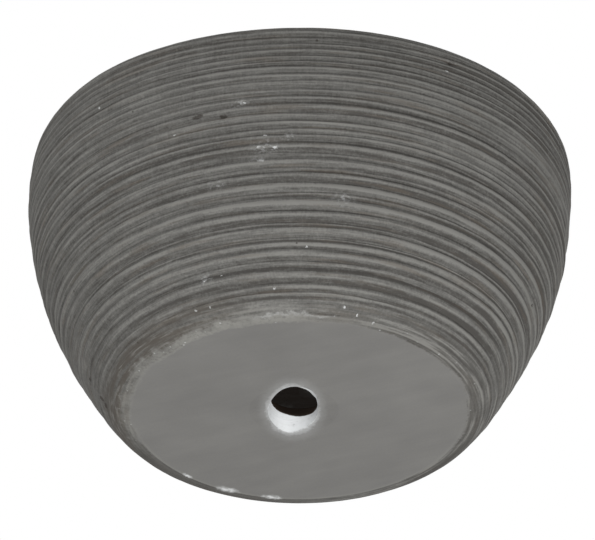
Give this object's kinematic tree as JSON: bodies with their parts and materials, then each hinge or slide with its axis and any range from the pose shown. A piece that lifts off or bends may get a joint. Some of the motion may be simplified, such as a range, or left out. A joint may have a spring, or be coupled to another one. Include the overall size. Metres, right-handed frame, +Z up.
{
  "type": "flower pot",
  "caption": "Round bowl planter in grey fibre cement with a combed, ribbed wall, a rounded rim and foot, and a flared drain hole in its flat trowelled base.",
  "frame": {"origin": "centre of the base, on the surface that the pot stands on", "axes": "+Z up along the pot's axis of symmetry, from the base to the rim; X and Y are any two level directions"},
  "size_m": [0.3494, 0.3494, 0.172],
  "materials": {
    "grey_face_coat": "combed dark grey cement",
    "trowelled_base": "trowelled grey cement",
    "pale_core": "rough pale fibre cement",
    "pale_slab": "rough pale fibre cement",
    "white_mortar": "rough white mortar",
    "dark_seal": "matt dark seal coat"
  },
  "bodies": {
    "root": {"wall_face_coat": "grey_face_coat", "base_face_coat": "trowelled_base", "wall_core": "pale_core", "base_slab": "pale_slab", "drain_liner": "white_mortar", "inner_seal_coat": "dark_seal"}
  },
  "joints": []
}
